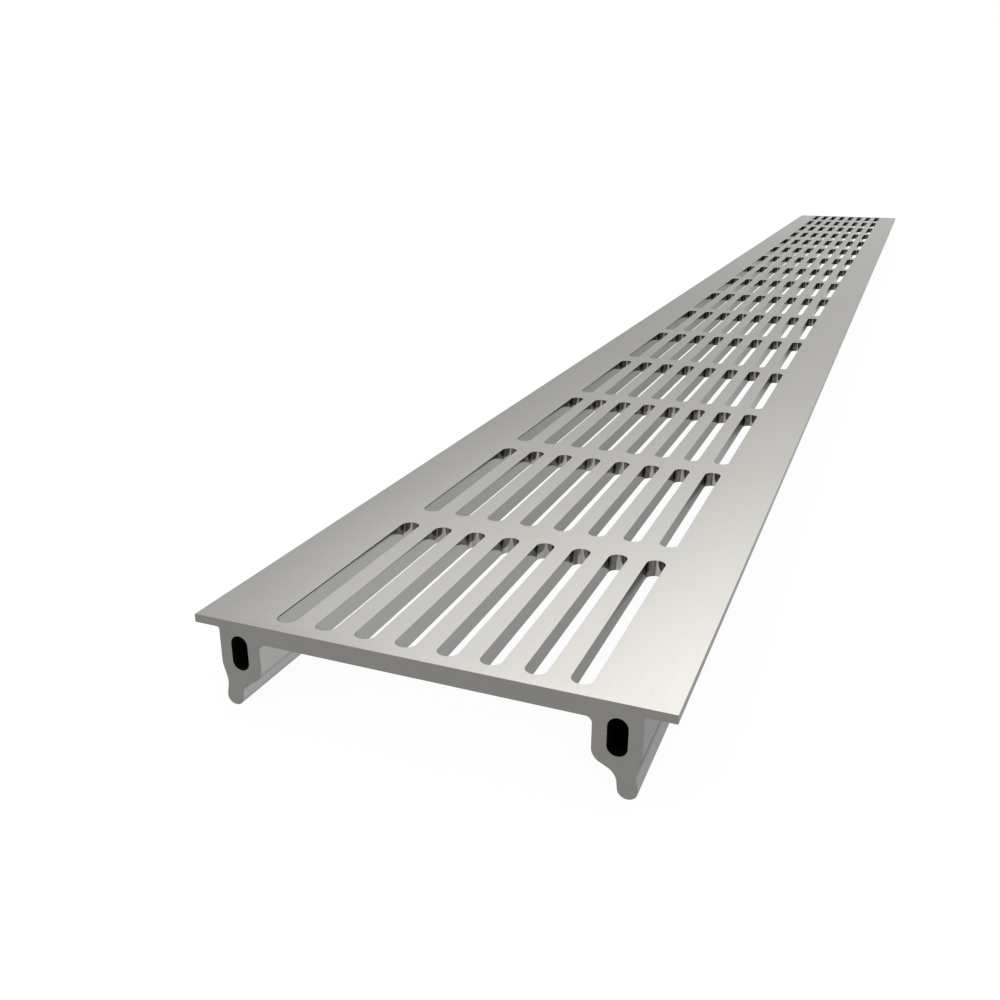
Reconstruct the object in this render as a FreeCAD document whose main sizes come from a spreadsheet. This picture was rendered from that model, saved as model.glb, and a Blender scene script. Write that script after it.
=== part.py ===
"""Slotted grating of a channel drain: one length of extruded aluminium.

The section is a flat deck with a thin flange along each side. Under the deck stand two hollow legs,
mirror images of each other. The chamber of each leg has round ends and runs the whole length. Below
it the leg draws in to a neck and ends in a rounded nose, which snaps into the clip of the channel
while the flanges rest on the channel's edges. Rows of slots with round ends are punched through the
deck between the legs.

Frame: X across the grating, Y along it, Z up. The origin is under the middle of the deck, at the
height of the nose tips. All sizes are in millimetres.
"""

import FreeCAD, Part
import math
import os
import Sketcher
from FreeCAD import Vector

NODE = "slotted_grate"

# Driving dimensions: alias, value, what it is.
SIZES = [
    ("grate_length", 1000.0, "length of the extrusion"),
    ("grate_width", 93.0, "width over both flanges"),
    ("flange_thickness", 1.7, "thickness of a flange outside its leg"),
    ("flange_overhang", 5.4, "from the flange's edge to the leg's outer face"),
    ("flange_fillet", 0.5, "radius between flange and leg"),
    ("deck_thickness", 3.7, "thickness of the deck between the legs"),
    ("deck_fillet", 1.2, "radius between deck and leg"),
    ("outer_wall", 2.5, "wall of a leg outside its chamber"),
    ("inner_wall", 2.6, "wall of a leg inside its chamber"),
    ("chamber_width", 3.65, "width of a chamber, whose ends are half round"),
    ("chamber_height", 7.25, "height of a chamber over its round ends"),
    ("chamber_cover", 2.85, "metal above a chamber, up to the walking surface"),
    ("heel_rise", 0.7, "corner of the leg's outer face, above the chamber's bottom"),
    ("heel_radius", 3.0, "radius of that corner"),
    ("notch_inset", 1.0, "deepest corner of the snap notch, in from the outer face"),
    ("notch_drop", 2.9, "the same corner, below the chamber's bottom"),
    ("notch_radius", 5.0, "radius of the snap notch"),
    ("nose_inset", 2.25, "centre of the nose, in from the leg's outer face"),
    ("nose_drop", 6.1, "centre of the nose, below the chamber's bottom"),
    ("nose_radius", 1.8, "radius of the nose"),
    ("neck_inset", 4.35, "corner of the neck's inner side, in from the outer face"),
    ("neck_drop", 3.3, "the same corner, below the chamber's bottom"),
    ("neck_radius", 3.0, "radius of that corner"),
    ("shoulder_drop", 1.1, "lower corner of the inner face, below the chamber's bottom"),
    ("shoulder_radius", 2.75, "radius of that corner"),
    ("slot_width", 4.1, "width of a slot, whose ends are half round"),
    ("slot_length", 54.5, "length of a slot over its round ends"),
    ("slot_bar", 4.2, "bar between two slots of a row"),
    ("slot_margin", 1.0, "least deck between a leg's inner face and a slot"),
    ("row_bridge", 8.0, "bridge between two rows of slots"),
    ("row_margin", 3.3, "from the near end of the grating to the first row"),
]

# Sizes that follow from the driving ones, as expressions on the sheet's aliases.
LEG_WIDTH = "(Sizes.outer_wall + Sizes.chamber_width + Sizes.inner_wall)"
CHAMBER_BOTTOM = "(Sizes.chamber_cover + Sizes.chamber_height)"
GRATE_HEIGHT = f"({CHAMBER_BOTTOM} + Sizes.nose_drop + Sizes.nose_radius)"
SLOT_PITCH = "(Sizes.slot_width + Sizes.slot_bar)"
ROW_PITCH = "(Sizes.slot_length + Sizes.row_bridge)"
SLOT_FIELD = (
    f"(Sizes.grate_width - 2 * (Sizes.flange_overhang + {LEG_WIDTH} + Sizes.slot_margin))"
)
SLOTS_ACROSS = f"(floor(({SLOT_FIELD} - Sizes.slot_width) / {SLOT_PITCH}) + 1)"
ROW_FIELD = "(Sizes.grate_length - 2 * Sizes.row_margin)"
ROWS = f"(floor(({ROW_FIELD} - Sizes.slot_length) / {ROW_PITCH}) + 1)"

# Straight edges that make up each round end of a slot, which keeps the many slots light.
SLOT_END_EDGES = 6

ORIGIN = (-1, 1)
Z_AXIS = -2
START, END, CENTRE = 1, 2, 3


def make_sheet(doc):
    """The spreadsheet of driving dimensions, one aliased row each."""
    sheet = doc.addObject("Spreadsheet::Sheet", "Sizes")
    for row, (alias, value, meaning) in enumerate(SIZES, start=1):
        sheet.set(f"A{row}", meaning)
        sheet.set(f"B{row}", str(value))
        sheet.setAlias(f"B{row}", alias)
    doc.recompute()
    return sheet


def origin_plane(body, role):
    """One of the body's own origin planes, by its role."""
    return next(f for f in body.Origin.OriginFeatures if f.Role == role)


def add_sketch(body, name, role):
    """An empty sketch on one of the body's origin planes."""
    sketch = body.newObject("Sketcher::SketchObject", name)
    sketch.AttachmentSupport = [(origin_plane(body, role), "")]
    sketch.MapMode = "FlatFace"
    return sketch


def constrain(sketch, kind, *refs):
    """A geometric constraint."""
    return sketch.addConstraint(Sketcher.Constraint(kind, *refs))


def as_drawn(sketch, kind, refs):
    """What a dimension measures on the sketch as it is drawn."""
    if kind == "Radius":
        return sketch.Geometry[refs[0]].Radius
    run = sketch.getPoint(*refs[2:]) - sketch.getPoint(*refs[:2])
    return run.x if kind == "DistanceX" else run.y


def dimension(sketch, name, kind, refs, expression):
    """A named dimension of the sketch, driven by an expression on the sheet."""
    index = sketch.addConstraint(Sketcher.Constraint(kind, *refs, as_drawn(sketch, kind, refs)))
    sketch.renameConstraint(index, name)
    sketch.setExpression(f"Constraints.{name}", expression)


def add_arc(sketch, centre, start, end, clockwise):
    """An arc round a centre, and its handles at start and at end."""
    circle = Part.Circle(centre, Vector(0, 0, 1), start.distanceToPoint(centre))
    first, last = (end, start) if clockwise else (start, end)
    angles = [math.atan2(p.y - centre.y, p.x - centre.x) for p in (first, last)]
    arc = sketch.addGeometry(Part.ArcOfCircle(circle, *angles))
    if clockwise:
        return arc, (arc, END), (arc, START)
    return arc, (arc, START), (arc, END)


def rounding(before, corner, after, radius):
    """The arc that rounds a corner between two straight runs: centre, start, end, clockwise."""
    back = (before - corner).normalize()
    ahead = (after - corner).normalize()
    clockwise = back.cross(ahead).z > 0
    half_angle = back.getAngle(ahead) / 2
    setback = radius / math.tan(half_angle)
    towards_centre = (back + ahead).normalize()
    centre = corner + towards_centre * (radius / math.sin(half_angle))
    return centre, corner + back * setback, corner + ahead * setback, clockwise


def tangent_point(centre, radius, outside, side):
    """Where a straight run from an outside point touches a circle; side is 1 or -1."""
    reach = outside - centre
    turn = math.atan2(reach.y, reach.x) + side * math.acos(radius / reach.Length)
    return centre + Vector(math.cos(turn), math.sin(turn), 0) * radius


def section_points(sheet):
    """Corners of the half section, with the nose's centre, before the corners are rounded."""
    value = {alias: sheet.get(alias) for alias, _, _ in SIZES}
    bottom = value["chamber_cover"] + value["chamber_height"]
    top = bottom + value["nose_drop"] + value["nose_radius"]
    bottom = top - bottom
    edge = value["grate_width"] / 2
    outer = edge - value["flange_overhang"]
    inner = outer - value["outer_wall"] - value["chamber_width"] - value["inner_wall"]
    return {
        "top_middle": Vector(0, top, 0),
        "top_edge": Vector(edge, top, 0),
        "flange_edge": Vector(edge, top - value["flange_thickness"], 0),
        "flange_root": Vector(outer, top - value["flange_thickness"], 0),
        "heel": Vector(outer, bottom + value["heel_rise"], 0),
        "notch": Vector(outer - value["notch_inset"], bottom - value["notch_drop"], 0),
        "nose": Vector(outer - value["nose_inset"], value["nose_radius"], 0),
        "neck": Vector(outer - value["neck_inset"], bottom - value["neck_drop"], 0),
        "shoulder": Vector(inner, bottom - value["shoulder_drop"], 0),
        "deck_root": Vector(inner, top - value["deck_thickness"], 0),
        "deck_middle": Vector(0, top - value["deck_thickness"], 0),
    }


def draw_outline(sketch, sheet):
    """The half section's closed outline. Returns the handles of its corners and of the nose."""
    points = section_points(sheet)
    order = list(points)
    radii = {
        "flange_root": "flange_fillet",
        "heel": "heel_radius",
        "notch": "notch_radius",
        "neck": "neck_radius",
        "shoulder": "shoulder_radius",
        "deck_root": "deck_fillet",
    }
    nose_radius = sheet.get("nose_radius")
    touch = {
        "notch": tangent_point(points["nose"], nose_radius, points["notch"], -1),
        "neck": tangent_point(points["nose"], nose_radius, points["neck"], 1),
    }

    # Each corner's arc: its centre, start and end, and whether it runs clockwise.
    stations = {}
    for place, name in enumerate(order):
        before = points[order[place - 1]]
        after = points[order[(place + 1) % len(order)]]
        if name == "nose":
            stations[name] = (points[name], touch["notch"], touch["neck"], True)
        elif name in radii:
            before = touch["neck"] if name == "neck" else before
            after = touch["notch"] if name == "notch" else after
            stations[name] = rounding(before, points[name], after, sheet.get(radii[name]))
        else:
            stations[name] = (None, points[name], points[name], None)

    lines = {}
    for place, name in enumerate(order):
        following = order[(place + 1) % len(order)]
        run = Part.LineSegment(stations[name][2], stations[following][1])
        lines[name] = sketch.addGeometry(run)

    handles = {}
    for place, name in enumerate(order):
        arriving = (lines[order[place - 1]], END)
        leaving = (lines[name], START)
        centre, start, end, clockwise = stations[name]
        if centre is None:
            constrain(sketch, "Coincident", *arriving, *leaving)
            handles[name] = leaving
            continue
        arc, arc_start, arc_end = add_arc(sketch, centre, start, end, clockwise)
        constrain(sketch, "Tangent", *arriving, *arc_start)
        constrain(sketch, "Tangent", *arc_end, *leaving)
        if name == "nose":
            handles[name] = (arc, CENTRE)
            dimension(sketch, "nose_radius", "Radius", (arc,), "Sizes.nose_radius")
            continue
        corner = (sketch.addGeometry(Part.Point(points[name]), True), START)
        constrain(sketch, "PointOnObject", *corner, lines[order[place - 1]])
        constrain(sketch, "PointOnObject", *corner, lines[name])
        handles[name] = corner
        dimension(sketch, radii[name], "Radius", (arc,), f"Sizes.{radii[name]}")

    for name in ("top_middle", "flange_edge", "deck_root"):
        constrain(sketch, "Horizontal", lines[name])
    for name in ("top_edge", "flange_root", "shoulder", "deck_middle"):
        constrain(sketch, "Vertical", lines[name])
    constrain(sketch, "PointOnObject", *handles["top_middle"], Z_AXIS)
    return handles


def measure_outline(sketch, handles):
    """The dimensions that place the outline's corners."""
    top = handles["top_edge"]
    outer = handles["heel"]

    def across(name, expression):
        dimension(sketch, f"{name}_across", "DistanceX", (*handles[name], *outer), expression)

    def below_top(name, expression):
        dimension(sketch, f"{name}_depth", "DistanceY", (*handles[name], *top), expression)

    dimension(sketch, "half_width", "DistanceX", (*ORIGIN, *top), "Sizes.grate_width / 2")
    dimension(sketch, "height", "DistanceY", (*ORIGIN, *top), GRATE_HEIGHT)
    dimension(sketch, "overhang", "DistanceX", (*outer, *top), "Sizes.flange_overhang")
    across("notch", "Sizes.notch_inset")
    across("nose", "Sizes.nose_inset")
    across("neck", "Sizes.neck_inset")
    across("shoulder", LEG_WIDTH)
    below_top("flange_edge", "Sizes.flange_thickness")
    below_top("heel", f"{CHAMBER_BOTTOM} - Sizes.heel_rise")
    below_top("notch", f"{CHAMBER_BOTTOM} + Sizes.notch_drop")
    below_top("nose", f"{CHAMBER_BOTTOM} + Sizes.nose_drop")
    below_top("neck", f"{CHAMBER_BOTTOM} + Sizes.neck_drop")
    below_top("shoulder", f"{CHAMBER_BOTTOM} + Sizes.shoulder_drop")
    below_top("deck_root", "Sizes.deck_thickness")


def draw_slot(sketch, near, far, radius):
    """The outline of one slot, whose ends are runs of equal short edges on two circles.

    Returns the handles of the circles' centres."""
    up = Vector(0, 0, 1)
    circles = [sketch.addGeometry(Part.Circle(c, up, radius), True) for c in (near, far)]
    spots = []
    for end, centre in enumerate((near, far)):
        for step in range(SLOT_END_EDGES + 1):
            turn = math.pi * (end + 1 + step / SLOT_END_EDGES)
            spots.append(centre + Vector(math.cos(turn), math.sin(turn), 0) * radius)
    edges = [
        sketch.addGeometry(Part.LineSegment(spot, spots[(place + 1) % len(spots)]))
        for place, spot in enumerate(spots)
    ]

    for place, edge in enumerate(edges):
        end, step = divmod(place, SLOT_END_EDGES + 1)
        constrain(sketch, "Coincident", edges[place - 1], END, edge, START)
        constrain(sketch, "PointOnObject", edge, START, circles[end])
        if step in (0, SLOT_END_EDGES):
            constrain(sketch, "Horizontal", edge, START, circles[end], CENTRE)
        if step == SLOT_END_EDGES:
            constrain(sketch, "Vertical", edge)
        elif step:
            constrain(sketch, "Equal", edges[place - 1], edge)
    dimension(sketch, "slot_radius", "Radius", (circles[0],), "Sizes.slot_width / 2")
    return (circles[0], CENTRE), (circles[1], CENTRE)


def draw_chamber(sketch, sheet, handles):
    """The hollow of the leg, placed from the leg's outer face and the walking surface."""
    top = section_points(sheet)["top_edge"]
    radius = sheet.get("chamber_width") / 2
    x = top.x - sheet.get("flange_overhang") - sheet.get("outer_wall") - radius
    high = Vector(x, top.y - sheet.get("chamber_cover") - radius, 0)
    low = high - Vector(0, sheet.get("chamber_height") - 2 * radius, 0)
    side = Vector(radius, 0, 0)
    roof, roof_start, roof_end = add_arc(sketch, high, high + side, high - side, False)
    floor, floor_start, floor_end = add_arc(sketch, low, low - side, low + side, False)
    inner = sketch.addGeometry(Part.LineSegment(high - side, low - side))
    outer = sketch.addGeometry(Part.LineSegment(low + side, high + side))
    constrain(sketch, "Tangent", *roof_end, inner, START)
    constrain(sketch, "Tangent", inner, END, *floor_start)
    constrain(sketch, "Tangent", *floor_end, outer, START)
    constrain(sketch, "Tangent", outer, END, *roof_start)
    constrain(sketch, "Vertical", outer)
    constrain(sketch, "Equal", roof, floor)

    half = "Sizes.chamber_width / 2"
    height = "Sizes.chamber_height - Sizes.chamber_width"
    upper = (roof, CENTRE)
    lower = (floor, CENTRE)
    heel = handles["heel"]
    edge = handles["top_edge"]
    dimension(sketch, "chamber_radius", "Radius", (roof,), half)
    dimension(sketch, "chamber_across", "DistanceX", (*upper, *heel), f"Sizes.outer_wall + {half}")
    dimension(sketch, "chamber_depth", "DistanceY", (*upper, *edge), f"Sizes.chamber_cover + {half}")
    dimension(sketch, "chamber_run", "DistanceY", (*lower, *upper), height)


def extrude_section(body, sheet):
    """The whole extrusion: half of the section drawn, padded along Y and mirrored."""
    sketch = add_sketch(body, "HalfSection", "XZ_Plane")
    handles = draw_outline(sketch, sheet)
    measure_outline(sketch, handles)
    draw_chamber(sketch, sheet, handles)

    pad = body.newObject("PartDesign::Pad", "HalfExtrusion")
    pad.Profile = sketch
    pad.SideType = "Symmetric"
    pad.setExpression("Length", "Sizes.grate_length")

    mirrored = body.newObject("PartDesign::Mirrored", "Extrusion")
    mirrored.Originals = [pad]
    mirrored.MirrorPlane = (origin_plane(body, "YZ_Plane"), [""])
    mirrored.Refine = True
    body.Tip = mirrored
    body.Document.recompute()
    return mirrored


def first_slot_across(sheet):
    """Where the middle of the leftmost slot is drawn: half the run of slots from the grate's middle."""
    value = {alias: sheet.get(alias) for alias, _, _ in SIZES}
    leg = value["outer_wall"] + value["chamber_width"] + value["inner_wall"]
    field = value["grate_width"] - 2 * (value["flange_overhang"] + leg + value["slot_margin"])
    pitch = value["slot_width"] + value["slot_bar"]
    return -math.floor((field - value["slot_width"]) / pitch) * pitch / 2


def punch_slots(body, sheet):
    """The rows of slots: one slot cut down through the deck, then repeated both ways."""
    sketch = add_sketch(body, "Slot", "XY_Plane")
    sketch.setExpression("AttachmentOffset.Base.z", GRATE_HEIGHT)
    radius = sheet.get("slot_width") / 2
    near = Vector(
        first_slot_across(sheet),
        -sheet.get("grate_length") / 2 + sheet.get("row_margin") + radius,
        0,
    )
    far = near + Vector(0, sheet.get("slot_length") - 2 * radius, 0)
    first, second = draw_slot(sketch, near, far, radius)
    half_run = f"({SLOTS_ACROSS} - 1) * {SLOT_PITCH} / 2"
    start = "Sizes.grate_length / 2 - Sizes.row_margin - Sizes.slot_width / 2"
    length = "Sizes.slot_length - Sizes.slot_width"
    dimension(sketch, "slot_across", "DistanceX", (*first, *ORIGIN), half_run)
    dimension(sketch, "slot_start", "DistanceY", (*first, *ORIGIN), start)
    dimension(sketch, "slot_run", "DistanceY", (*first, *second), length)

    pocket = body.newObject("PartDesign::Pocket", "FirstSlot")
    pocket.Profile = sketch
    pocket.Type = "ThroughAll"

    repeats = [
        ("SlotsInRow", "H_Axis", SLOT_PITCH, SLOTS_ACROSS),
        ("RowsOfSlots", "V_Axis", ROW_PITCH, ROWS),
    ]
    slots = body.newObject("PartDesign::MultiTransform", "Slots")
    transformations = []
    for name, axis, pitch, count in repeats:
        pattern = body.newObject("PartDesign::LinearPattern", name)
        pattern.Direction = (sketch, [axis])
        pattern.Mode = "Spacing"
        pattern.setExpression("Offset", pitch)
        pattern.setExpression("Occurrences", count)
        transformations.append(pattern)
    slots.Originals = [pocket]
    slots.Transformations = transformations
    body.Tip = slots
    body.Document.recompute()
    return slots


def check(doc, body):
    """Stops if an object of the document has failed or the body isn't one sound solid."""
    for item in doc.Objects:
        if {"Invalid", "Error"} & set(item.State):
            raise RuntimeError(f"{item.Label} is {item.State}")
    shape = body.Shape
    if shape.isNull() or not shape.isValid() or len(shape.Solids) != 1:
        raise RuntimeError(f"{body.Label} isn't one valid solid")


def main():
    doc = FreeCAD.newDocument("ChannelDrainGrating")
    sheet = make_sheet(doc)
    body = doc.addObject("PartDesign::Body", "Grating")
    body.Label = NODE
    blank = extrude_section(body, sheet).Shape.Volume
    punched = punch_slots(body, sheet).Shape.Volume
    if not punched < blank:
        raise RuntimeError("the slots cut nothing out of the deck")
    check(doc, body)

    os.makedirs("parts", exist_ok=True)
    body.Shape.exportStep(f"parts/{body.Label}.step")
    size = body.Shape.BoundBox
    print(f"{body.Label}: {size.XLength:.2f} x {size.YLength:.2f} x {size.ZLength:.2f} mm")
    print(f"volume {punched:.0f} mm3, section area {blank / size.YLength:.1f} mm2")


main()
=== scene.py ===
"""Looks of the slotted drain grating.

One finely meshed extrusion in satin aluminium lies on a pale floor in a white tent. The section is
drawn in millimetres, and the mesh is made in metres.
"""

import math

import bmesh
import bpy
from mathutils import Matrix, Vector
from mathutils.geometry import delaunay_2d_cdt

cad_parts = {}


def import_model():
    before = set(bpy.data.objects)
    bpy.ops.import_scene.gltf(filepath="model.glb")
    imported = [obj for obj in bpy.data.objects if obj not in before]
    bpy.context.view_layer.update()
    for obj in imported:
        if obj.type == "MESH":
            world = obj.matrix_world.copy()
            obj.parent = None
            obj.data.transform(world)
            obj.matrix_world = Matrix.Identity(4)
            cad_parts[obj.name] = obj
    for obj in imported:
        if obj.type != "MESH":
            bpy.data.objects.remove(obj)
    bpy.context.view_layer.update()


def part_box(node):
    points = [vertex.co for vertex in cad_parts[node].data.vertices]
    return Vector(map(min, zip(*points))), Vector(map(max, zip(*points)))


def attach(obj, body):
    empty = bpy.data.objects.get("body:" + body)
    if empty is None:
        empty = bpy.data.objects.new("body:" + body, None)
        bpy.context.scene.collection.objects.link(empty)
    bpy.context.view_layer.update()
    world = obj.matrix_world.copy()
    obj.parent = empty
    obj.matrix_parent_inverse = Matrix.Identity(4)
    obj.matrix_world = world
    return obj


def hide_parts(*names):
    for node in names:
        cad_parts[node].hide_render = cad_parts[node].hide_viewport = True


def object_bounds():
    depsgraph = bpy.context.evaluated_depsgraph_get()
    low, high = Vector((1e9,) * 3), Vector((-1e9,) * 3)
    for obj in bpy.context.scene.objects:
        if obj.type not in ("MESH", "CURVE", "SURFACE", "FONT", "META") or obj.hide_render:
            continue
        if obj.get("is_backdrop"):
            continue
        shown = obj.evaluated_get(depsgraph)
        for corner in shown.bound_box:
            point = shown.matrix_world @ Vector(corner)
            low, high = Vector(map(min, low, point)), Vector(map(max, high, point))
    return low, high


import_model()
MM = 0.001
NODE = "slotted_grate"
LOW, HIGH = [Vector(corner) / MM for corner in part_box(NODE)]

# The section's sizes, in millimetres. Width and height come from the CAD node. Insets are measured
# from the leg's outer face, rises and drops from the chamber's bottom.
WIDTH = HIGH.x - LOW.x
TOP = HIGH.z
FLANGE = 1.7
OVERHANG = 5.4
FLANGE_FILLET = 0.5
DECK = 3.7
DECK_FILLET = 1.2
OUTER_WALL = 2.5
INNER_WALL = 2.6
CHAMBER_WIDTH = 3.65
CHAMBER_HEIGHT = 7.25
CHAMBER_COVER = 2.85
CHAMBER_BOTTOM = CHAMBER_COVER + CHAMBER_HEIGHT
LEG = OUTER_WALL + CHAMBER_WIDTH + INNER_WALL
HEEL_RISE, HEEL_RADIUS = 0.7, 3.0
NOTCH_INSET, NOTCH_DROP, NOTCH_RADIUS = 1.0, 2.9, 5.0
NOSE_INSET, NOSE_RADIUS = 2.25, 1.8
NECK_INSET, NECK_DROP, NECK_RADIUS = 4.35, 3.3, 3.0
SHOULDER_DROP, SHOULDER_RADIUS = 1.1, 2.75

# The slots, also in millimetres.
SLOT_WIDTH = 4.1
SLOT_LENGTH = 54.5
SLOT_PITCH = 8.3
SLOTS_ACROSS = 8
ROW_PITCH = 62.5
ROWS = 16
ROW_START = 3.3

# How far the sharp edges are broken: along the flanges, round the cut ends and round the slots.
EDGE_BREAK = 0.15
END_BREAK = 0.07
SLOT_BREAK = 0.04

# Fineness of the mesh.
ARC_STEP = math.radians(7.5)
SLOT_END_STEPS = 16
SHARP_ANGLE = math.radians(28)
PLACE_DIGITS = 4
PLATE_GAP = 1e-5

# A slot's outline runs round its near end, up its right wall, round its far end and down its left
# wall. These are the places of both walls in it, and those where the leftmost slots' broken edge
# carries a painted shade line, as does the upper band of their left wall, to the depth below.
RIGHT_WALL = SLOT_END_STEPS
LEFT_WALL = 2 * SLOT_END_STEPS + 1
PAINTED_SHADE_RIM = (0, 1, 2, SLOT_END_STEPS + 1, 2 * SLOT_END_STEPS, LEFT_WALL)
PAINTED_SHADE_DEPTH = 0.22

# Places of the materials on the grating.
# The sixth and seventh are near-black painted shade, and the fifth, for the round slot ends, is
# darkened by painted shade.
TOP_FACE, MILL, CUT, WALL, SHEAR_AND_SHADE, PAINTED_SHADE, CHAMBER = range(7)


# ---------------------------------------------------------------- the section

def turned(vector, angle):
    """A flat vector turned anticlockwise."""
    cosine, sine = math.cos(angle), math.sin(angle)
    return Vector((vector.x * cosine - vector.y * sine, vector.x * sine + vector.y * cosine))


def rounding(before, corner, after, radius):
    """Points of the arc that rounds a corner."""
    back = (before - corner).normalized()
    ahead = (after - corner).normalized()
    half = back.angle(ahead) / 2
    start = corner + back * (radius / math.tan(half))
    centre = corner + (back + ahead).normalized() * (radius / math.sin(half))
    sweep = math.pi - 2 * half
    if back.x * ahead.y - back.y * ahead.x > 0:
        sweep = -sweep
    steps = max(2, math.ceil(abs(sweep) / ARC_STEP))
    spoke = start - centre
    return [centre + turned(spoke, sweep * step / steps) for step in range(steps + 1)]


def touch(centre, radius, outside, side):
    """Where a straight run from an outside point touches a circle."""
    reach = outside - centre
    turn = math.atan2(reach.y, reach.x) + side * math.acos(radius / reach.length)
    return centre + Vector((math.cos(turn), math.sin(turn))) * radius


def nose_arc(centre, first, last):
    """Clockwise under the leg's nose, between two points of its circle."""
    start = math.atan2(first.y - centre.y, first.x - centre.x)
    end = math.atan2(last.y - centre.y, last.x - centre.x)
    sweep = (start - end) % (2 * math.pi)
    steps = math.ceil(sweep / ARC_STEP)
    turns = [start - sweep * step / steps for step in range(steps + 1)]
    return [centre + Vector((math.cos(turn), math.sin(turn))) * NOSE_RADIUS for turn in turns]


def leg_outline():
    """Right half of the section, from the top face round to the deck's underside."""
    edge = WIDTH / 2
    outer = edge - OVERHANG
    inner = outer - LEG
    bottom = TOP - CHAMBER_BOTTOM
    middle = Vector((0, TOP))
    top_edge = Vector((edge, TOP))
    flange_edge = Vector((edge, TOP - FLANGE))
    root = Vector((outer, TOP - FLANGE))
    heel = Vector((outer, bottom + HEEL_RISE))
    notch = Vector((outer - NOTCH_INSET, bottom - NOTCH_DROP))
    nose = Vector((outer - NOSE_INSET, NOSE_RADIUS))
    neck = Vector((outer - NECK_INSET, bottom - NECK_DROP))
    shoulder = Vector((inner, bottom - SHOULDER_DROP))
    deck_root = Vector((inner, TOP - DECK))
    deck_middle = Vector((0, TOP - DECK))
    nose_in = touch(nose, NOSE_RADIUS, notch, -1)
    nose_out = touch(nose, NOSE_RADIUS, neck, 1)

    points = []
    points += rounding(middle, top_edge, flange_edge, EDGE_BREAK)
    points += rounding(top_edge, flange_edge, root, EDGE_BREAK)
    points += rounding(flange_edge, root, heel, FLANGE_FILLET)
    points += rounding(root, heel, notch, HEEL_RADIUS)
    points += rounding(heel, notch, nose_in, NOTCH_RADIUS)
    points += nose_arc(nose, nose_in, nose_out)
    points += rounding(nose_out, neck, shoulder, NECK_RADIUS)
    points += rounding(neck, shoulder, deck_root, SHOULDER_RADIUS)
    points += rounding(shoulder, deck_root, deck_middle, DECK_FILLET)
    return points


def section_outline():
    """The whole outline, clockwise from the top face's right end to its left end."""
    right = leg_outline()
    return right + [Vector((-p.x, p.y)) for p in reversed(right)]


def chamber_outline(side):
    """The chamber of the leg on one side, anticlockwise."""
    radius = CHAMBER_WIDTH / 2
    x = side * (WIDTH / 2 - OVERHANG - OUTER_WALL - radius)
    high = TOP - CHAMBER_COVER - radius
    low = TOP - CHAMBER_BOTTOM + radius
    steps = math.ceil(math.pi / ARC_STEP)
    points = []
    for start, z in ((0, high), (math.pi, low)):
        for step in range(steps + 1):
            turn = start + math.pi * step / steps
            points.append(Vector((x + radius * math.cos(turn), z + radius * math.sin(turn))))
    return points


def slot_outline(x, near, far, radius):
    """One slot seen from above, anticlockwise, starting at its near end's left side."""
    points = []
    for start, y in ((math.pi, near), (0, far)):
        for step in range(SLOT_END_STEPS + 1):
            turn = start + math.pi * step / SLOT_END_STEPS
            points.append((x + radius * math.cos(turn), y + radius * math.sin(turn)))
    return points


def slots():
    """Centre line of each slot: x, and the y of the centres of its round ends."""
    radius = SLOT_WIDTH / 2
    for column in range(SLOTS_ACROSS):
        x = (column - (SLOTS_ACROSS - 1) / 2) * SLOT_PITCH
        for row in range(ROWS):
            near = LOW.y + ROW_START + row * ROW_PITCH
            yield x, near + radius, near + SLOT_LENGTH - radius


# ---------------------------------------------------------------- the mesh

def following(loop):
    """Each point of a closed loop with the next one."""
    return zip(loop, loop[1:] + loop[:1])


def widened(loop, depth):
    """A clockwise loop moved outwards by depth, or inwards where depth is negative."""
    moved = []
    for place, point in enumerate(loop):
        before = (point - loop[place - 1]).normalized()
        after = (loop[(place + 1) % len(loop)] - point).normalized()
        left = [Vector((-v.y, v.x)) for v in (before, after)]
        share = (left[0] + left[1]).normalized()
        moved.append(point + share * (depth / max(share.dot(left[0]), 0.5)))
    return moved


class Builder:
    """Collects vertices by place, so that neighbouring faces share them."""

    def __init__(self):
        self.mesh = bmesh.new()
        self.found = {}

    def vertex(self, x, y, z):
        key = tuple(round(value, PLACE_DIGITS) for value in (x, y, z))
        if key not in self.found:
            self.found[key] = self.mesh.verts.new((x * MM, y * MM, z * MM))
        return self.found[key]

    def face(self, corners, material):
        vertices = []
        for corner in corners:
            vertex = self.vertex(*corner)
            if vertex not in vertices:
                vertices.append(vertex)
        if len(vertices) > 2:
            made = self.mesh.faces.new(vertices)
            made.material_index = material
            made.smooth = True

    def along(self, a, b, y0, y1, material):
        """A face over one step of the section, between two places along the length."""
        self.face(((a.x, y0, a.y), (b.x, y0, b.y), (b.x, y1, b.y), (a.x, y1, a.y)), material)

    def plate(self, outline, holes, lift, material, flip):
        """A flat face with holes. lift turns a flat point into a place."""
        points, loops = [], []
        for loop in [outline] + holes:
            loops.append(list(range(len(points), len(points) + len(loop))))
            points += loop
        flat = [Vector(point) for point in points]
        _, _, faces, source, *_ = delaunay_2d_cdt(flat, [], loops, 2, PLATE_GAP)
        for triangle in faces:
            corners = [lift(*points[source[k][0]]) for k in triangle]
            self.face(corners[::-1] if flip else corners, material)


def add_long_faces(make, outline, chambers):
    """All that runs along the length, but for the two flat faces that carry the slots."""
    near, far = LOW.y, HIGH.y
    half = len(outline) // 2
    slotted = (half - 1, len(outline) - 1)
    for place, (a, b) in enumerate(following(outline)):
        if place not in slotted:
            make.along(a, b, near + END_BREAK, far - END_BREAK, MILL)
    for loop in chambers:
        for a, b in following(loop):
            make.along(a, b, near, far, CHAMBER)


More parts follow.
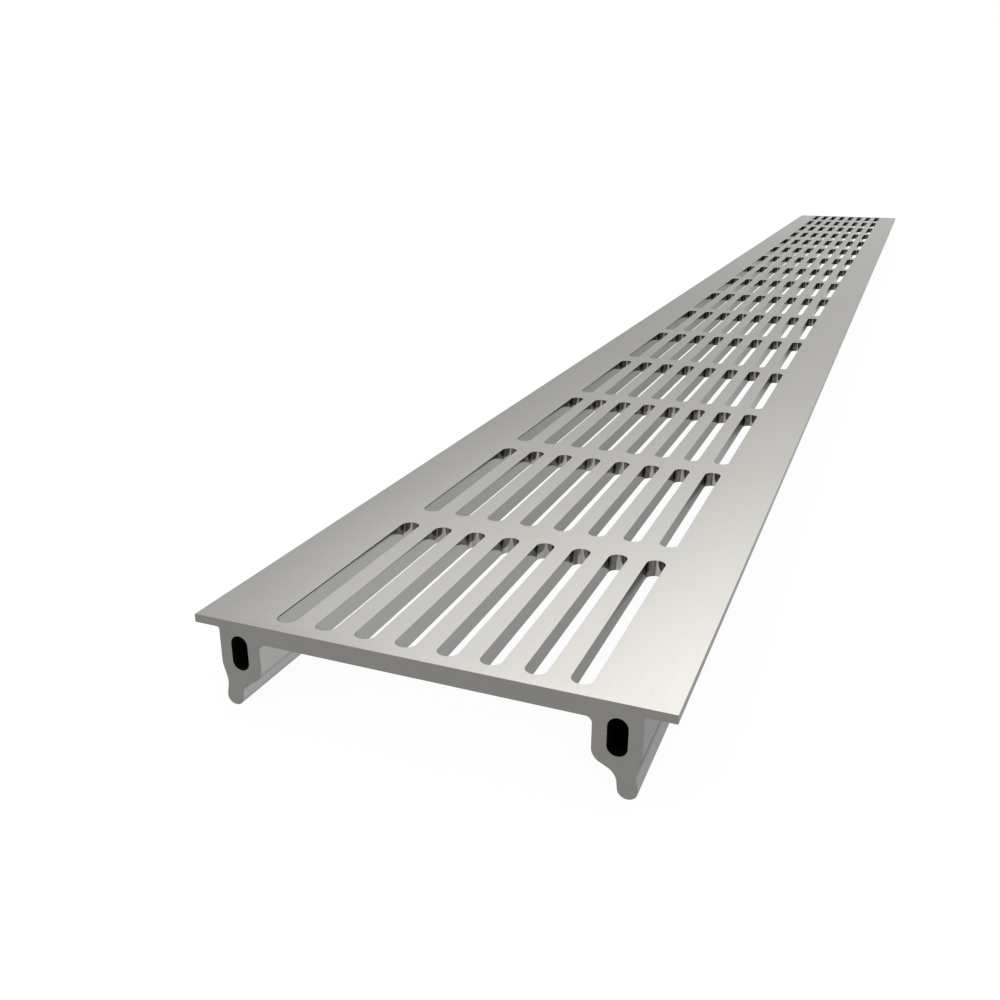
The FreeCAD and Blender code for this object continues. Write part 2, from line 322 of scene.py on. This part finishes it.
def add_ends(make, outline, chambers):
    """Square-cut ends with their sharp edge just broken."""
    shrunk = widened(outline, -END_BREAK)
    for end, inwards in ((LOW.y, 1), (HIGH.y, -1)):
        y = end + inwards * END_BREAK
        for (a, b), (d, c) in zip(following(outline), following(shrunk)):
            corners = ((a.x, y, a.y), (b.x, y, b.y), (c.x, end, c.y), (d.x, end, d.y))
            make.face(corners if inwards > 0 else corners[::-1], CUT)
        make.plate(shrunk, chambers, lambda x, z: (x, end, z), CUT, inwards < 0)


def add_deck(make, outline):
    """The walking surface, the deck's underside, and the slots through both."""
    radius = SLOT_WIDTH / 2
    places = list(slots())
    rims = [slot_outline(*place, radius + SLOT_BREAK) for place in places]
    walls = [slot_outline(*place, radius) for place in places]
    y0, y1 = LOW.y + END_BREAK, HIGH.y - END_BREAK
    right = outline[0].x
    sheet = [(-right, y0), (right, y0), (right, y1), (-right, y1)]
    make.plate(sheet, rims, lambda x, y: (x, y, TOP), TOP_FACE, False)
    inside = outline[len(outline) // 2 - 1].x
    sheet = [(-inside, y0), (inside, y0), (inside, y1), (-inside, y1)]
    make.plate(sheet, walls, lambda x, y: (x, y, TOP - DECK), MILL, True)
    leftmost = min(x for x, *_ in places)
    for (x, *_), rim, wall in zip(places, rims, walls):
        add_slot(make, rim, wall, x == leftmost)


def add_slot(make, rim, wall, leftmost):
    """The wall of one slot in two layers, and the broken edge above them; the round ends are
    darkened by painted shade, and on the leftmost slots a near-black painted shade line runs along
    the left wall's top.
    """
    top = [(x, y, TOP) for x, y in rim]
    lip = [(x, y, TOP - SLOT_BREAK) for x, y in wall]
    line = [(x, y, TOP - PAINTED_SHADE_DEPTH) for x, y in wall]
    foot = [(x, y, TOP - DECK) for x, y in wall]
    for place in range(len(wall)):
        after = (place + 1) % len(wall)
        # The round ends take the sheared finish, whose colour is darkened by painted shade.
        finish = WALL if place in (RIGHT_WALL, LEFT_WALL) else SHEAR_AND_SHADE
        # On the leftmost slots, the upper band of the left wall and the broken edge near it take
        # the near-black painted shade.
        upper = PAINTED_SHADE if leftmost and place == LEFT_WALL else finish
        edge = PAINTED_SHADE if leftmost and place in PAINTED_SHADE_RIM else TOP_FACE
        for low, high, material in ((foot, line, finish), (line, lip, upper), (lip, top, edge)):
            make.face((low[place], low[after], high[after], high[place]), material)


def build_grating():
    """The whole grating as one closed mesh."""
    make = Builder()
    outline = section_outline()
    chambers = [chamber_outline(side) for side in (1, -1)]
    add_long_faces(make, outline, chambers)
    add_ends(make, outline, chambers)
    add_deck(make, outline)

    mesh = bpy.data.meshes.new("grating")
    bmesh.ops.recalc_face_normals(make.mesh, faces=make.mesh.faces)
    open_edges = sum(1 for edge in make.mesh.edges if not edge.is_manifold)
    print("grating:", len(make.mesh.faces), "faces,", open_edges, "edges not closed,",
          round(make.mesh.calc_volume() / MM ** 3), "mm3")
    make.mesh.to_mesh(mesh)
    make.mesh.free()
    mesh.set_sharp_from_angle(angle=SHARP_ANGLE)
    piece = bpy.data.objects.new("grating", mesh)
    bpy.context.scene.collection.objects.link(piece)
    return piece


# ---------------------------------------------------------------- materials

class Nodes:
    """Short hand for building a node tree. Inputs are given by name, or by place as i0, i1."""

    def __init__(self, tree):
        self.tree = tree
        tree.nodes.clear()

    def add(self, kind, **inputs):
        node = self.tree.nodes.new(kind)
        for name, value in inputs.items():
            self.put(node, name, value)
        return node

    def put(self, node, name, value):
        place = name[1:]
        socket = node.inputs[int(place) if place.isdigit() else name.replace("_", " ")]
        if isinstance(value, bpy.types.NodeSocket):
            self.tree.links.new(value, socket)
        else:
            socket.default_value = value

    def maths(self, operation, a, b=0.0):
        node = self.add("ShaderNodeMath", i0=a, i1=b)
        node.operation = operation
        return node.outputs[0]

    def parts(self, vector):
        return self.add("ShaderNodeSeparateXYZ", i0=vector).outputs

    def blend(self, a, b, share):
        """share of a, and the rest of b."""
        return self.maths("ADD", self.maths("MULTIPLY", a, share),
                          self.maths("MULTIPLY", b, 1.0 - share))

    def spread(self, value, low, high, to_low, to_high):
        node = self.add("ShaderNodeMapRange", i0=value, i1=low, i2=high, i3=to_low, i4=to_high)
        return node.outputs[0]

    def dot(self, vector, fixed):
        node = self.add("ShaderNodeVectorMath", i0=vector, i1=fixed)
        node.operation = "DOT_PRODUCT"
        return node.outputs["Value"]

    def noise(self, vector, scale, detail, roughness):
        node = self.add("ShaderNodeTexNoise", Vector=vector, Scale=scale, Detail=detail,
                        Roughness=roughness)
        return node.outputs["Fac"]

    def stretched(self, vector, x, y, z):
        return self.add("ShaderNodeMapping", Vector=vector, Scale=(x, y, z)).outputs[0]

    def mix(self, factor, a, b, blend_type="MIX"):
        """Two colours mixed. The Mix node keeps its colours at inputs 6 and 7, output 2."""
        node = self.add("ShaderNodeMix")
        node.data_type = "RGBA"
        node.blend_type = blend_type
        for name, value in (("i0", factor), ("i6", a), ("i7", b)):
            self.put(node, name, value)
        return node.outputs[2]

    def scaled(self, colour, factor):
        """A colour times one factor."""
        grey = self.add("ShaderNodeCombineColor", i0=factor, i1=factor, i2=factor).outputs[0]
        return self.mix(1.0, colour, grey, "MULTIPLY")


# The grey that metal reflects at a glancing angle, the depth of its lines in metres, and how far
# its roughness varies.
GLANCING = 0.46
GLANCING_SHEARED = 0.5
LINE_DEPTH = 0.0001
ROUGH_RANGE = 0.025

# Between these slopes of a face, the painted shade on faces turned down and the painted light on
# faces turned up come in.
PAINTED_SHADE_SLOPES = (-0.12, -0.02)
PAINTED_LIGHT_SLOPES = (0.02, 0.12)


def grey(level):
    return (level, level, level, 1)


def tinted(level, warmth):
    """A grey that is a little warm."""
    return (level * (1 + warmth / 2), level, level * (1 - warmth), 1)


def new_material(name):
    material = bpy.data.materials.new(name)
    material.use_nodes = True
    return material, Nodes(material.node_tree)


def object_place(n):
    return n.add("ShaderNodeTexCoord").outputs["Object"]


def painted_slope_light(n, place, under, over):
    """Painted shade, under, on faces turned outwards and down, painted light, over, on those
    turned up, and 1 elsewhere.
    """
    facing = n.parts(n.add("ShaderNodeNewGeometry").outputs["Normal"])
    across = n.parts(place)["X"]
    outward = n.maths("GREATER_THAN", n.maths("MULTIPLY", across, facing["X"]), 0.0)
    lost = n.maths("MULTIPLY", n.spread(facing["Z"], *PAINTED_SHADE_SLOPES, 1.0 - under, 0.0), outward)
    return n.maths("MULTIPLY", n.maths("SUBTRACT", 1.0, lost),
                   n.spread(facing["Z"], *PAINTED_LIGHT_SLOPES, 1.0, over))


def metal(name, level, roughness, streak=0.03, line_bump=0.02, under=1.0, over=1.0):
    """Aluminium with fine lines along its length, level grey with a share of streak."""
    material, n = new_material(name)
    place = object_place(n)
    lines = n.noise(n.stretched(place, 1.0, 0.012, 1.0), 900.0, 4.0, 0.6)
    fine = n.noise(n.stretched(place, 1.0, 0.03, 1.0), 4200.0, 2.0, 0.5)
    cloud = n.noise(place, 22.0, 3.0, 0.5)
    tone = n.spread(n.blend(lines, cloud, 0.55), 0.35, 0.65, 0.0, 1.0)
    dark, light = [tinted(level * share, 0.02) for share in (1 - streak, 1 + streak)]
    colour = n.mix(tone, dark, light)
    # Where under or over is given, the colour carries painted shade on faces turned down and
    # painted light on faces turned up.
    if under < 1.0:
        colour = n.scaled(colour, painted_slope_light(n, place, under, over))
    rough = n.spread(n.blend(fine, cloud, 0.6), 0.3, 0.7,
                     roughness - ROUGH_RANGE, roughness + ROUGH_RANGE)
    bump = n.add("ShaderNodeBump", Strength=line_bump, Distance=LINE_DEPTH, Height=lines)
    shader = n.add("ShaderNodeBsdfPrincipled", Base_Color=colour, Roughness=rough, Metallic=1.0,
                   Normal=bump.outputs[0], Specular_Tint=grey(GLANCING))
    n.add("ShaderNodeOutputMaterial", Surface=shader.outputs[0])
    return material


def cut_metal():
    """The sawn ends: fine marks of the blade across the section."""
    material, n = new_material("sawn_aluminium")
    place = object_place(n)
    lines = n.noise(n.stretched(place, 0.06, 1.0, 1.0), 5200.0, 3.0, 0.55)
    cloud = n.noise(place, 160.0, 3.0, 0.5)
    tone = n.spread(n.blend(lines, cloud, 0.6), 0.3, 0.7, 0.0, 1.0)
    colour = n.mix(tone, tinted(0.222, 0.05), tinted(0.240, 0.05))
    bump = n.add("ShaderNodeBump", Strength=0.05, Distance=LINE_DEPTH, Height=lines)
    shader = n.add("ShaderNodeBsdfPrincipled", Base_Color=colour, Roughness=0.5, Metallic=1.0,
                   Normal=bump.outputs[0])
    n.add("ShaderNodeOutputMaterial", Surface=shader.outputs[0])
    return material


def sheared_painted_shade_metal():
    """The round ends of the punched slots: bright from the punch, with faint upright marks, and
    darker than the straight walls as painted shade.
    """
    material, n = new_material("sheared_painted_shade_aluminium")
    marks = n.noise(n.stretched(object_place(n), 1.0, 1.0, 0.10), 900.0, 2.0, 0.55)
    tone = n.spread(marks, 0.42, 0.60, 0.0, 1.0)
    # Both greys sit well below the straight walls' level as painted shade; the upright marks
    # between them are shear marks.
    colour = n.mix(tone, tinted(0.26, 0.05), tinted(0.35, 0.05))
    shader = n.add("ShaderNodeBsdfPrincipled", Base_Color=colour, Roughness=0.08, Metallic=1.0,
                   Specular_Tint=grey(GLANCING_SHEARED))
    n.add("ShaderNodeOutputMaterial", Surface=shader.outputs[0])
    return material


def finishes():
    """The grating's materials, in the order of TOP_FACE to CHAMBER."""
    return (
        metal("satin_aluminium", 0.42, 0.24, streak=0.012, line_bump=0.01),
        # The mill finish carries painted shade on its faces turned outwards and down, and painted
        # light on those turned up.
        metal("mill_aluminium", 0.385, 0.20, streak=0.01, line_bump=0.01, under=0.4, over=1.22),
        cut_metal(),
        metal("punched_aluminium", 0.39, 0.12, streak=0.01, line_bump=0.0),
        sheared_painted_shade_metal(),
        # Near-black painted shade: the dark line along the leftmost slots' left wall.
        metal("painted_shade_aluminium", 0.05, 0.45),
        # The chambers' insides are the same aluminium, and they are made near-black as painted
        # shade.
        metal("chamber_painted_shade", 0.05, 0.45),
    )


# ---------------------------------------------------------------- the stage

# The floor, in metres: radius and height of its rings. From the third on they are the rim.
FLOOR_SIDES = 96
FLOOR_RINGS = ((0.6, 0.0), (3.0, 0.0), (12.0, 0.0), (12.4, 0.15), (12.6, 1.6))
RIM_FROM = 2

# Name, white given off and grey that takes the shadow, for the floor and for its rim.
FLOOR_FINISHES = (("pale_floor", 0.95, 0.06), ("pale_rim", 1.0, 0.0))
FLOOR_BOUNCE = 0.82


def floor_material(name, white_share, shadow_share):
    """White to the camera and in reflections, and a plain pale surface to all other light."""
    material, n = new_material(name)
    ray = n.add("ShaderNodeLightPath").outputs
    seen = n.maths("MAXIMUM", ray["Is Camera Ray"], ray["Is Glossy Ray"])
    seen = n.maths("MAXIMUM", seen, ray["Is Transmission Ray"])
    plain = n.add("ShaderNodeBsdfDiffuse", Color=grey(FLOOR_BOUNCE))
    shadow = n.add("ShaderNodeBsdfDiffuse", Color=grey(shadow_share))
    white = n.add("ShaderNodeEmission", Color=grey(1), Strength=white_share)
    bright = n.add("ShaderNodeAddShader", i0=white.outputs[0], i1=shadow.outputs[0])
    mixed = n.add("ShaderNodeMixShader", i0=seen, i1=plain.outputs[0], i2=bright.outputs[0])
    n.add("ShaderNodeOutputMaterial", Surface=mixed.outputs[0])
    return material


def stage():
    """A wide pale floor whose rim turns up far behind the object. It keeps the object's shadow."""
    disc = bmesh.new()
    turns = [2 * math.pi * side / FLOOR_SIDES for side in range(FLOOR_SIDES)]
    loops = []
    for radius, height in FLOOR_RINGS:
        places = [(radius * math.cos(turn), radius * math.sin(turn), height) for turn in turns]
        loops.append([disc.verts.new(place) for place in places])
    disc.faces.new(loops[0])
    for place, (inner, outer) in enumerate(zip(loops, loops[1:])):
        for (a, b), (d, c) in zip(following(inner), following(outer)):
            part = disc.faces.new((a, d, c, b))
            part.material_index = int(place >= RIM_FROM)
    mesh = bpy.data.meshes.new("floor")
    disc.to_mesh(mesh)
    disc.free()
    floor = bpy.data.objects.new("floor", mesh)
    floor.location.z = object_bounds()[0][2]
    bpy.context.scene.collection.objects.link(floor)
    for finish in FLOOR_FINISHES:
        floor.data.materials.append(floor_material(*finish))
    floor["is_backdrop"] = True


# ---------------------------------------------------------------- the light

# Towards gives an azimuth from +Y to +X and a height above the horizon, in degrees. Heights and
# sides give the strength at two heights in degrees, or at two values of a direction's X.
GLOW_TOWARDS = (0, 45)
GLOW_STRENGTH = 2.95
GLOW_FOCUS = 4.9
GLOW_COLOUR = (1.0, 0.985, 0.945, 1)
GLOW_HEIGHTS = ((36, 1.0), (48, 0.3))
GLOW_SIDES = ((-0.05, 1.0), (0.25, 0.45))
EVEN_STRENGTH = 0.42
EVEN_FADE = 2.4
EVEN_SIDES = ((-0.20, 0.12), (0.18, 2.60))

# The opening of the tent, and the angles from its middle where it begins and ends to close.
OPEN_TOWARDS = (-18, 18)
OPEN_ANGLES = (36, 52)


def direction(azimuth, height):
    """The unit vector towards an azimuth and a height."""
    azimuth, height = math.radians(azimuth), math.radians(height)
    return (math.sin(azimuth) * math.cos(height), math.cos(azimuth) * math.cos(height),
            math.sin(height))


def world():
    """Soft studio light: a white tent, open behind the grating onto a broad warm glow.

    An even light seen through the opening grows from its left to its right, and fills the glow up
    to white where both are weaker, so that no part of the world is darker than the tent.
    """
    sky = bpy.data.worlds.new("studio")
    bpy.context.scene.world = sky
    sky.use_nodes = True
    n = Nodes(sky.node_tree)
    towards = n.add("ShaderNodeTexCoord").outputs["Generated"]
    parts = n.parts(towards)

    off_glow = n.maths("SUBTRACT", n.dot(towards, direction(*GLOW_TOWARDS)), 1.0)
    glow = n.maths("EXPONENT", n.maths("MULTIPLY", off_glow, GLOW_FOCUS))
    glow = n.maths("MULTIPLY", glow, GLOW_STRENGTH)
    (low, full), (high, rest) = GLOW_HEIGHTS
    ends = [math.sin(math.radians(height)) for height in (low, high)]
    glow = n.maths("MULTIPLY", glow, n.spread(parts["Z"], *ends, full, rest))
    (left, full), (right, rest) = GLOW_SIDES
    glow = n.maths("MULTIPLY", glow, n.spread(parts["X"], left, right, full, rest))

    (left, dim), (right, full) = EVEN_SIDES
    even = n.maths("EXPONENT", n.maths("MULTIPLY", parts["Z"], -EVEN_FADE))
    even = n.maths("MULTIPLY", even, n.spread(parts["X"], left, right, dim, full))
    even = n.maths("MULTIPLY", even, EVEN_STRENGTH)
    even = n.maths("MAXIMUM", even, n.maths("SUBTRACT", 1.0, glow))

    inner, outer = [math.cos(math.radians(angle)) for angle in OPEN_ANGLES]
    opening = n.spread(n.dot(towards, direction(*OPEN_TOWARDS)), outer, inner, 0.0, 1.0)
    glow = n.maths("MULTIPLY", glow, opening)
    even = n.maths("MULTIPLY", even, opening)
    even = n.maths("ADD", even, n.maths("SUBTRACT", 1.0, opening))

    warm = n.add("ShaderNodeBackground", Color=GLOW_COLOUR, Strength=glow)
    white = n.add("ShaderNodeBackground", Color=grey(1), Strength=even)
    both = n.add("ShaderNodeAddShader", i0=warm.outputs[0], i1=white.outputs[0])
    n.add("ShaderNodeOutputWorld", Surface=both.outputs[0])


# ---------------------------------------------------------------- the camera

# Millimetres on a 36 mm sensor, metres, and degrees about X, Y and Z.
LENS = 36.053
SENSOR = 36.0
CLIP = (0.005, 100.0)
CAMERA_PLACE = (0.07151, -0.63619, 0.10453)
CAMERA_TURN = (69.6046, -0.0448, 22.1494)


def camera():
    """The front view, from a little to the right and above."""
    data = bpy.data.cameras.new("camera")
    data.sensor_width = SENSOR
    data.lens = LENS
    data.clip_start, data.clip_end = CLIP
    view = bpy.data.objects.new("camera", data)
    view.rotation_euler = [math.radians(angle) for angle in CAMERA_TURN]
    view.location = CAMERA_PLACE
    bpy.context.scene.collection.objects.link(view)
    bpy.context.scene.camera = view


grating = build_grating()
for finish in finishes():
    grating.data.materials.append(finish)
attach(grating, "root")
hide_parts(NODE)

stage()
world()
camera()
bpy.context.scene.view_settings.view_transform = "Standard"
